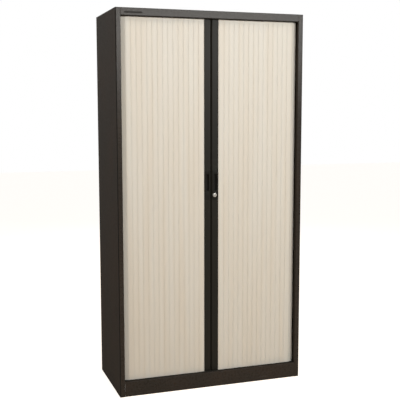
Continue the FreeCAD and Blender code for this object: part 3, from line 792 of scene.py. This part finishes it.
def slat_tree():
    """swept section, pins and plugs, set on the chord between two runs of the path"""
    inputs = (("Section", "Object"), ("Near", "Float"), ("Far", "Float"), ("Finish", "Material"))
    tree, group = new_tree("slat_on_path", inputs)
    path = shape(tree, "MeshToCurve", {"Mesh": group["Geometry"]}, "Curve")
    corner = {"Curve": path, "Radius": CORNER_RADIUS * MM, "Count": CORNER_POINTS}
    path = shape(tree, "FilletCurve", corner, "Curve", mode="POLY")
    ends = [shape(tree, "SampleCurve", {"Curves": path, "Length": group[label]}, "Position", mode="LENGTH")
            for label in ("Near", "Far")]
    along = step(tree, "ShaderNodeVectorMath", {0: ends[1], 1: ends[0]}, operation="SUBTRACT")
    middle = step(tree, "ShaderNodeMix", {"Factor": 0.5, "A": ends[0], "B": ends[1]}, data_type="VECTOR")
    parts = step(tree, "ShaderNodeSeparateXYZ", {"Vector": along.outputs["Vector"]}).outputs
    rotation = upright_turn(tree, chain("ARCTAN2", parts["Y"], parts["X"]))

    section = shape(tree, "ObjectInfo", {"Object": group["Section"]})
    section = shape(tree, "MeshToCurve", {"Mesh": section}, "Curve")
    height = {"Start": (0.0, 0.0, CURTAIN_BOTTOM * MM), "End": (0.0, 0.0, CURTAIN_TOP * MM)}
    rise = shape(tree, "CurvePrimitiveLine", height, "Curve")
    links = {"Curve": rise, "Profile Curve": section, "Fill Caps": True}
    pieces = [shape(tree, "CurveToMesh", links, "Mesh")]
    spans = ((GUIDE_BOTTOM, CURTAIN_BOTTOM + GUIDE_OVERLAP), (CURTAIN_TOP - GUIDE_OVERLAP, GUIDE_TOP))
    for low, high in spans:
        size = {"Vertices": GUIDE_SIDES, "Radius": BEAD_RADIUS * MM, "Depth": (high - low) * MM}
        place = (HINGE_CENTRE * MM, 0.0, (low + high) / 2.0 * MM)
        pin = shape(tree, "MeshCylinder", size, "Mesh")
        pieces.append(shape(tree, "Transform", {"Geometry": pin, "Translation": place}))
    width = 2.0 * (CROWN_HALF - SKIN + PLUG_INSET)
    middle_y = CROWN_FRONT + SKIN - PLUG_INSET + PLUG_DEPTH / 2.0
    for level in (CURTAIN_BOTTOM + PLUG_HEIGHT / 2.0, CURTAIN_TOP - PLUG_HEIGHT / 2.0):
        plug = shape(tree, "MeshCube", {"Size": (width * MM, PLUG_DEPTH * MM, PLUG_HEIGHT * MM)}, "Mesh")
        place = (0.0, middle_y * MM, level * MM)
        pieces.append(shape(tree, "Transform", {"Geometry": plug, "Translation": place}))
    links = {"Geometry": joined(tree, pieces), "Rotation": rotation, "Translation": middle.outputs["Result"]}
    return put_out(tree, finished(tree, shape(tree, "Transform", links), group["Finish"]))


SLAT_TREE = slat_tree()
print("nodes in the slat's tree", len(SLAT_TREE.nodes))

# %% [markdown]
# The curtain's path goes in as a mesh of three points, and the tree rounds its corner. Each slat is evaluated
# with its own pair of runs, and becomes a mesh that rides on its own body. The left leaf is the right one
# mirrored, with its faces turned outward again.

# %% Both leaves
PATH_POINTS = ((0.0, CURTAIN_Y, 0.0), (SIDE_LINE, CURTAIN_Y, 0.0), (SIDE_LINE, BACK_END, 0.0))

for k in range(LEAF_SLATS):
    near, far = slat_runs[k] * MM, slat_runs[k + 1] * MM
    runs = {"Section": SECTION, "Near": near, "Far": far, "Finish": CURTAIN_PLASTIC}
    made = tree_mesh(SLAT_TREE, seed_mesh(PATH_POINTS, [(0, 1), (1, 2)]), runs, "right_slat_mesh")
    for side in SIDES:
        node = "%s_slat_%02d" % (side, k + 1)
        mesh = made if side == "right" else mirrored(made, "left_slat_mesh")
        add_piece(node + "_strip", mesh, node, [node], CURTAIN_PLASTIC)
bpy.data.objects.remove(SECTION)
inside = round(signed_volume(made) * 1e9)
print("faces in a slat", len(made.polygons), "inside", inside, "cubic millimetres")

# %% [markdown]
# ## Finger pulls
# In the photograph each stile has a tall slot for the fingers, dark inside, with a lighter rim where the
# moulding turns over its edge, and the right one carries the lock below the slot. The pull is one moulding: a
# face plate, 32 by 158 mm and 1.5 mm proud, and a cup behind it that fingertips reach into. The edge of the
# slot is rounded so that it is kind to fingers, and that rounding is what catches the light.

# %% Finger pull
STILE_FRONT = -209.0
PULL_FRONT = -210.5
PULL_X = (6.0, 38.0)
PULL_Z = (1008.0, 1166.0)
PULL_RADIUS = 5.0
PULL_EASE = 0.9
POCKET_X = (14.0, 30.0)
POCKET_Z = (1057.0, 1144.0)
POCKET_RADIUS = 3.0
POCKET_LIP = 1.2
POCKET_FLOOR = -196.5
POCKET_FOOT = ((0.0, 1.0), (0.3, 0.3), (1.0, 0.0))    # inset, and distance before the floor
CUP_BACK = -195.0
CUP_WALL = 1.5
CUP_EASE = 0.6
LOCK = (19.0, 1034.0)
BARREL_HOLE = 9.1
LOCK_STEPS = 48


def lock_rings(profile):
    """circles about the lock's axis from (radius, depth) pairs"""
    return turned(profile, LOCK_STEPS, *LOCK, at_depth)


def pull_mesh(name, with_lock):
    """right-hand pull: plate, slot with a rounded lip, cup behind, and the lock's hole"""

    def plate(inset):
        return oblong(PULL_X, PULL_Z, PULL_RADIUS, -inset)

    def slot(outset):
        return oblong(POCKET_X, POCKET_Z, POCKET_RADIUS, outset)

    edge = eased(plate, PULL_EASE, PULL_FRONT, 4) + [at_depth(plate(0.0), STILE_FRONT)]
    pit = eased(slot, POCKET_LIP, PULL_FRONT, 5)
    pit += [at_depth(slot(-inset), POCKET_FLOOR - out) for inset, out in POCKET_FOOT]
    cup = [at_depth(slot(CUP_WALL - inset), y)
           for inset, y in ((0.0, STILE_FRONT), (0.0, CUP_BACK - CUP_EASE), (CUP_EASE, CUP_BACK))]
    walls = [edge, pit, cup]
    front = [edge[0], pit[0]]
    back = [edge[-1], cup[0]]
    if with_lock:
        hole = lock_rings([(BARREL_HOLE, PULL_FRONT), (BARREL_HOLE, STILE_FRONT)])
        walls.append(hole)
        front.append(hole[0])
        back.append(hole[1])
    return walled_mesh(name, walls, [front, back, [pit[-1]], [cup[-1]]])


add_piece("right_pull_moulding", pull_mesh("right_pull_mesh", True), "right_leaf", ["right_finger_pull"],
          PULL_FINISH)
add_piece("left_pull_moulding", mirrored(pull_mesh("left_pull_mesh", False), "left_pull_mesh"), "left_leaf",
          ["left_finger_pull"], PULL_FINISH)

# %% [markdown]
# ## Lock
# The lock is a round cam lock: a domed chrome bezel over a threaded barrel, and a plug that turns inside it
# with a keyway across its face. The bezel is turned, so it is a stack of circles from the back edge over the
# dome and down the bore. Inside the cupboard the barrel carries a thread that a clip bites on, 1.5 mm apart.

# %% Lock
BEZEL_RADIUS = 10.5
BEZEL_FRONT = -213.0
BEZEL_EDGE = ((0.2, 0.0), (0.0, 0.25), (0.0, 0.9))    # inset, and distance before the pull's face
DOME_START = 2.4
DOME_WIDTH = 2.3
DOME_DEPTH = 1.4
BARREL_RADIUS = 9.0
BARREL_BACK = -196.0
BARREL_EASE = 0.5
BORE_RADIUS = 6.05
BORE_RIM = ((7.1, 0.05), (6.6, 0.35), (BORE_RADIUS, 0.6))    # radius, and depth behind the bezel's front
THREAD_PITCH = 1.5
THREAD_DEPTH = 0.45
PLUG_RADIUS = 6.0
PLUG_FRONT = -213.4
PLUG_EDGE = ((0.45, 0.0), (0.2, 0.08), (0.0, 0.4))    # inset, and depth behind the plug's front
PLUG_DISH = ((4.75, 0.0), (4.6, 0.12))    # radius and depth
KEYWAY = (0.7, 4.0, 0.35)    # half width, half height and corner
KEYWAY_STEPS = ((0.15, 0.12), (0.0, 0.3), (0.0, 6.0))    # growth and depth
TAIL = (3.0, 3.0, 0.4)
TAIL_BACK = -190.0


def lock_oblong(half_width, half_height, radius, grow=0.0):
    """a small rectangle with round corners about the lock's axis"""
    x, z = LOCK
    return oblong((x - half_width, x + half_width), (z - half_height, z + half_height), radius, grow, 3)


def housing_mesh():
    """domed bezel, threaded barrel and the bore of the plug"""
    profile = [(BEZEL_RADIUS - inset, PULL_FRONT - out) for inset, out in BEZEL_EDGE]
    start, level = BEZEL_RADIUS - DOME_START, BEZEL_FRONT + DOME_DEPTH
    profile += arc(start, level, DOME_WIDTH, 0.0, 90.0, 8, -DOME_DEPTH)
    profile += [(radius, BEZEL_FRONT + depth) for radius, depth in BORE_RIM]
    profile += [(BORE_RADIUS, BARREL_BACK), (BARREL_RADIUS - BARREL_EASE, BARREL_BACK)]
    start, stop = BARREL_BACK - BARREL_EASE, STILE_FRONT + 1.0
    profile += thread(BARREL_RADIUS, THREAD_DEPTH, -THREAD_PITCH, start, stop)
    profile += [(BARREL_RADIUS, STILE_FRONT), (BARREL_RADIUS, PULL_FRONT), profile[0]]
    return walled_mesh("lock_bezel_mesh", [lock_rings(profile)], [])


def lock_plug_mesh():
    """plug with a chamfered face, a keyway cut into it, and the square tail behind"""
    edge = [(PLUG_RADIUS - inset, PLUG_FRONT + depth) for inset, depth in PLUG_EDGE]
    body = lock_rings(edge + [(PLUG_RADIUS, BARREL_BACK)])
    dish = lock_rings([(radius, PLUG_FRONT + depth) for radius, depth in PLUG_DISH])
    slot = [at_depth(lock_oblong(*KEYWAY, grow), PLUG_FRONT + depth) for grow, depth in KEYWAY_STEPS]
    tail = [at_depth(lock_oblong(*TAIL), depth) for depth in (BARREL_BACK, TAIL_BACK)]
    flats = [[body[0], dish[0]], [dish[-1], slot[0]], [slot[-1]], [body[-1], tail[0]], [tail[-1]]]
    return walled_mesh("lock_plug_mesh", [body, dish, slot, tail], flats)


add_piece("lock_bezel", housing_mesh(), "right_leaf", ["lock_housing"], CHROME_FINISH)
add_piece("lock_turning_plug", lock_plug_mesh(), "lock", ["lock_plug"], CHROME_FINISH)

# %% [markdown]
# ## Screws that hold the liners
# Six zinc pan-head screws fix the liners' foot flanges to the base. They are alike, so one is built as a
# stack of circles with a cross recess, and Geometry Nodes set it on the six places and turn each by a
# different amount, as a driver leaves them.

# %% Liner screws
SCREW_X = 469.5
SCREW_Y = (-83.5, 26.5, 136.5)
SCREW_SEAT = 68.0
SCREW_SEED = 7
SCREW_STEPS = 28
SCREW_RADIUS = 1.95
SCREW_LENGTH = 7.0
SCREW_PITCH = 0.8
SCREW_THREAD = 0.35
HEAD_RADIUS = 3.75
HEAD_HEIGHT = 2.3
HEAD_DOME = (2.1, 0.9)    # top radius, and start
HEAD_FLAT = 2.2
CROSS_ARM = 1.9
CROSS_HALF = 0.42
CROSS_STEPS = ((1.0, 0.0), (0.45, 1.6))    # share of the size, and depth


def cross_outline(share):
    """a cross, as (x, y) points, anticlockwise seen from above"""
    arm, half = CROSS_ARM * share, CROSS_HALF * share
    points = []
    for turn in turns(0.0, 270.0, 3):
        across, up = math.cos(turn), math.sin(turn)
        quarter = ((arm, -half), (arm, half), (half, half))
        points += [(x * across - y * up, x * up + y * across) for x, y in quarter]
    return points


def screw_mesh():
    """pan head with a cross recess, and a threaded shank with a blunt point"""
    profile = [(SCREW_RADIUS * 0.5, -SCREW_LENGTH), (SCREW_RADIUS * 0.8, 0.6 - SCREW_LENGTH)]
    profile += thread(SCREW_RADIUS, SCREW_THREAD, SCREW_PITCH, SCREW_PITCH - SCREW_LENGTH, -1.0)
    profile += [(SCREW_RADIUS, -0.6), (SCREW_RADIUS, 0.0), (HEAD_RADIUS - 0.15, 0.0), (HEAD_RADIUS, 0.2)]
    top, start = HEAD_DOME
    profile += arc(top, start, HEAD_RADIUS - top, 0.0, 75.0, 5, HEAD_HEIGHT - start)
    shank = turned(profile + [(HEAD_FLAT, HEAD_HEIGHT)], SCREW_STEPS)
    recess = [at_height(cross_outline(share), HEAD_HEIGHT - depth) for share, depth in CROSS_STEPS]
    return walled_mesh("screw_mesh", [shank, recess], [[shank[0]], [shank[-1], recess[0]], [recess[-1]]])


def screws_tree():
    """the screw on each of the carrier's points, each turned by its own amount"""
    inputs = (("Screw", "Object"), ("Seed", "Int"), ("Finish", "Material"))
    tree, group = new_tree("screws_on_points", inputs)
    limits = {"Min": 0.0, "Max": math.tau, "Seed": group["Seed"]}
    angle = step(tree, "FunctionNodeRandomValue", limits, data_type="FLOAT").outputs["Value"]
    screw = shape(tree, "ObjectInfo", {"Object": group["Screw"]})
    links = {"Points": group["Geometry"], "Instance": screw, "Rotation": upright_turn(tree, angle)}
    spots = shape(tree, "InstanceOnPoints", links, "Instances")
    return put_out(tree, finished(tree, spots, group["Finish"]))


SCREW = link("screw_pattern", screw_mesh())
seats = seed_mesh([(side * SCREW_X, y, SCREW_SEAT) for side in SIDES.values() for y in SCREW_Y])
screw_values = {"Screw": SCREW, "Seed": SCREW_SEED, "Finish": ZINC_FINISH}
screws = tree_mesh(screws_tree(), seats, screw_values, "screws")
add_piece("liner_screw_set", screws, "carcass", ["liner_screws"], ZINC_FINISH)
bpy.data.objects.remove(SCREW)

# %% [markdown]
# ## Levelling feet
# Under the plinth stand four screw feet, wound right up: a moulded pad with finger ribs round its rim, and a
# zinc-plated stem whose thread shows between the pad and the sleeve. Rib and thread both repeat, so a tree
# sets the ribs on a circle of points, and the thread is a stack of circles, 1.5 mm apart.

# %% Levelling feet
FOOT_X = 460.0
FOOT_Y = 190.0
PAD_RADIUS = 18.0
PAD_HEIGHT = 8.0
PAD_STEPS = 56
PAD_RIM = ((1.6, 0.0), (0.5, 0.4), (0.1, 1.2), (0.5, 2.0), (0.9, 2.6), (0.9, 6.0), (1.6, 7.0), (3.2, 7.5))
PAD_COLLAR = ((8.2, 7.6), (7.6, PAD_HEIGHT))    # radius and height; the rim above is inset and height
STEM_RADIUS = 5.0
STEM_TOP = 66.0
STEM_PITCH = 1.5
STEM_THREAD = 0.8
STEM_STEPS = 32
STEM_ROOT = 0.6
RIBS = 28
RIB_INSET = 0.9
RIB_RADIUS = 0.8
RIB_HEIGHT = 3.4
RIB_MIDDLE = 4.3
RIB_SIDES = 10


def pad_mesh():
    """moulded pad: softened foot, waist for the ribs, and a collar round the stem"""
    profile = [(PAD_RADIUS - inset, height) for inset, height in PAD_RIM]
    wall = turned(profile + [*PAD_COLLAR, (STEM_RADIUS - STEM_ROOT, PAD_HEIGHT)], PAD_STEPS)
    return walled_mesh("foot_pad_mesh", [wall], [[wall[0]], [wall[-1]]])


def stem_mesh():
    """threaded stem from inside the pad to under the case's floor"""
    profile = [(STEM_RADIUS - STEM_ROOT, PAD_HEIGHT - 1.0)]
    profile += thread(STEM_RADIUS, STEM_THREAD, STEM_PITCH, PAD_HEIGHT - 0.5, STEM_TOP - 2.0)
    profile += [(STEM_RADIUS - 0.4, STEM_TOP - 1.0), (STEM_RADIUS - 1.2, STEM_TOP)]
    wall = turned(profile, STEM_STEPS)
    return walled_mesh("foot_stem_mesh", [wall], [[wall[0]], [wall[-1]]])


def foot_tree():
    """pad with grip ribs, and stem, at the point of the modifier's mesh"""
    inputs = (("Pad", "Object"), ("Stem", "Object"), ("Ribs", "Int"), ("Pad finish", "Material"),
              ("Stem finish", "Material"))
    tree, group = new_tree("foot_at_point", inputs)
    rim = {"Vertices": group["Ribs"], "Radius": (PAD_RADIUS - RIB_INSET) * MM}
    circle = shape(tree, "MeshCircle", rim, "Mesh")
    circle = shape(tree, "Transform", {"Geometry": circle, "Translation": (0.0, 0.0, RIB_MIDDLE * MM)})
    size = {"Vertices": RIB_SIDES, "Side Segments": 1, "Radius": RIB_RADIUS * MM, "Depth": RIB_HEIGHT * MM}
    rib = shape(tree, "MeshCylinder", size, "Mesh")
    ribs = shape(tree, "InstanceOnPoints", {"Points": circle, "Instance": rib}, "Instances")
    pad, stem = [shape(tree, "ObjectInfo", {"Object": group[label]}) for label in ("Pad", "Stem")]
    halves = [finished(tree, joined(tree, [pad, ribs]), group["Pad finish"]),
              finished(tree, stem, group["Stem finish"])]
    links = {"Points": group["Geometry"], "Instance": joined(tree, halves)}
    spot = shape(tree, "InstanceOnPoints", links, "Instances")
    return put_out(tree, shape(tree, "RealizeInstances", {"Geometry": spot}))


PAD = link("foot_pad_pattern", pad_mesh())
STEM = link("foot_stem_pattern", stem_mesh())
FOOT_TREE = foot_tree()
foot_values = {"Pad": PAD, "Stem": STEM, "Ribs": RIBS, "Pad finish": FOOT_FINISH, "Stem finish": STEM_FINISH}
for row, y in (("front", -FOOT_Y), ("rear", FOOT_Y)):
    for side, sign in SIDES.items():
        node = "foot_%s_%s" % (row, side)
        mesh = tree_mesh(FOOT_TREE, seed_mesh([(sign * FOOT_X, y, 0.0)]), foot_values, node + "_mesh")
        add_piece(node + "_assembly", mesh, node, [node])
for pattern in (PAD, STEM):
    bpy.data.objects.remove(pattern)
print("faces in a foot", len(mesh.polygons))

# %% [markdown]
# ## Floor and light
# The picture is a studio shot cut out on white: no horizon, dark paint that lightens towards the top, and a
# warm cast low down. Dark satin paint shows what it mirrors, so the top is lighter because it sees a wide
# soft light high in front, and the foot gets only the warm bounce of the paper floor. The background is white
# only to the camera, in mirrors and through glass.

# %% Floor
FLOOR_SIZE = 30.0
FLOOR_COLOUR = (0.70, 0.53, 0.34)
FLOOR_GLOW = 0.90
WHITE = (1.0, 1.0, 1.0)


def seen_directly(graph):
    """1 for the camera's rays and for those in a mirror or through glass, 0 for light on a surface"""
    rays = step(graph, "ShaderNodeLightPath").outputs
    return chain("MAXIMUM", rays["Is Camera Ray"], rays["Is Glossy Ray"], rays["Is Transmission Ray"])


def studio_floor():
    """a flat floor of warm paper that is white to the camera, but for the object's shadow"""
    half = FLOOR_SIZE / 2.0
    corners = [(x, y, cad_low.z) for x, y in ((-half, -half), (half, -half), (half, half), (-half, half))]
    mesh = bpy.data.meshes.new("studio_floor")
    mesh.from_pydata(corners, [], [(0, 1, 2, 3)])
    finish, graph = new_finish("pale_paper", FLOOR_COLOUR, 0.9, specular=0.1)
    glow = product(seen_directly(graph), FLOOR_GLOW)
    set_shader(finish, {"Emission Color": WHITE, "Emission Strength": glow})
    floor = link("studio_floor", mesh, finish)


studio_floor()
print("floor at", round(cad_low.z, 4))

# %% [markdown]
# Three soft lights and a dim room. The key is a wide panel high in front, which the upper half of the doors
# mirrors. A small warm panel high on the left lights the side wall, and a weak one behind keeps the rear
# edges from merging with the floor.

# %% Lights
ROOM_LEVEL = 0.10
ROOM_COLOUR = (1.0, 0.91, 0.78)
LIGHTS = (    # name, place, target, size, watts and colour
    ("key_panel", (0.95, -3.6, 2.25), (0.0, -0.2, 1.3), (3.0, 0.70), 140.0, (0.98, 0.99, 0.97)),
    ("side_panel", (-2.6, -1.8, 3.8), (-0.4, 0.0, 1.5), (1.4, 1.0), 66.0, (1.0, 0.89, 0.77)),
    ("rear_panel", (1.5, 4.5, 3.0), (0.0, 0.2, 1.0), (3.0, 2.0), 60.0, WHITE),
)


def soft_light(name, place, target, size, power, colour):
    """a rectangular panel that looks at a point"""
    panel = bpy.data.lights.new(name, "AREA")
    panel.shape = "RECTANGLE"
    panel.size, panel.size_y = size
    panel.energy = power
    panel.color = colour
    lamp = bpy.data.objects.new(name, panel)
    lamp.location = place
    lamp.rotation_euler = (Vector(target) - Vector(place)).to_track_quat("-Z", "Y").to_euler()
    bpy.context.scene.collection.objects.link(lamp)


def studio_room():
    """dim to the surfaces, and white where it is seen directly"""
    world = bpy.data.worlds.new("studio_room")
    bpy.context.scene.world = world
    world.use_nodes = True
    graph = world.node_tree
    room = graph.nodes["Background"]
    feed(room.inputs["Color"], ROOM_COLOUR)
    feed(room.inputs["Strength"], ROOM_LEVEL)
    white = step(graph, "ShaderNodeBackground", {"Color": WHITE, "Strength": 1.0})
    inputs = {"Fac": seen_directly(graph), 1: room.outputs["Background"], 2: white.outputs["Background"]}
    mix = step(graph, "ShaderNodeMixShader", inputs)
    feed(graph.nodes["World Output"].inputs["Surface"], mix.outputs["Shader"])


for row in LIGHTS:
    soft_light(*row)
studio_room()
bpy.context.scene.view_settings.view_transform = "Standard"
print("lights", len(LIGHTS), "view", bpy.context.scene.view_settings.view_transform)
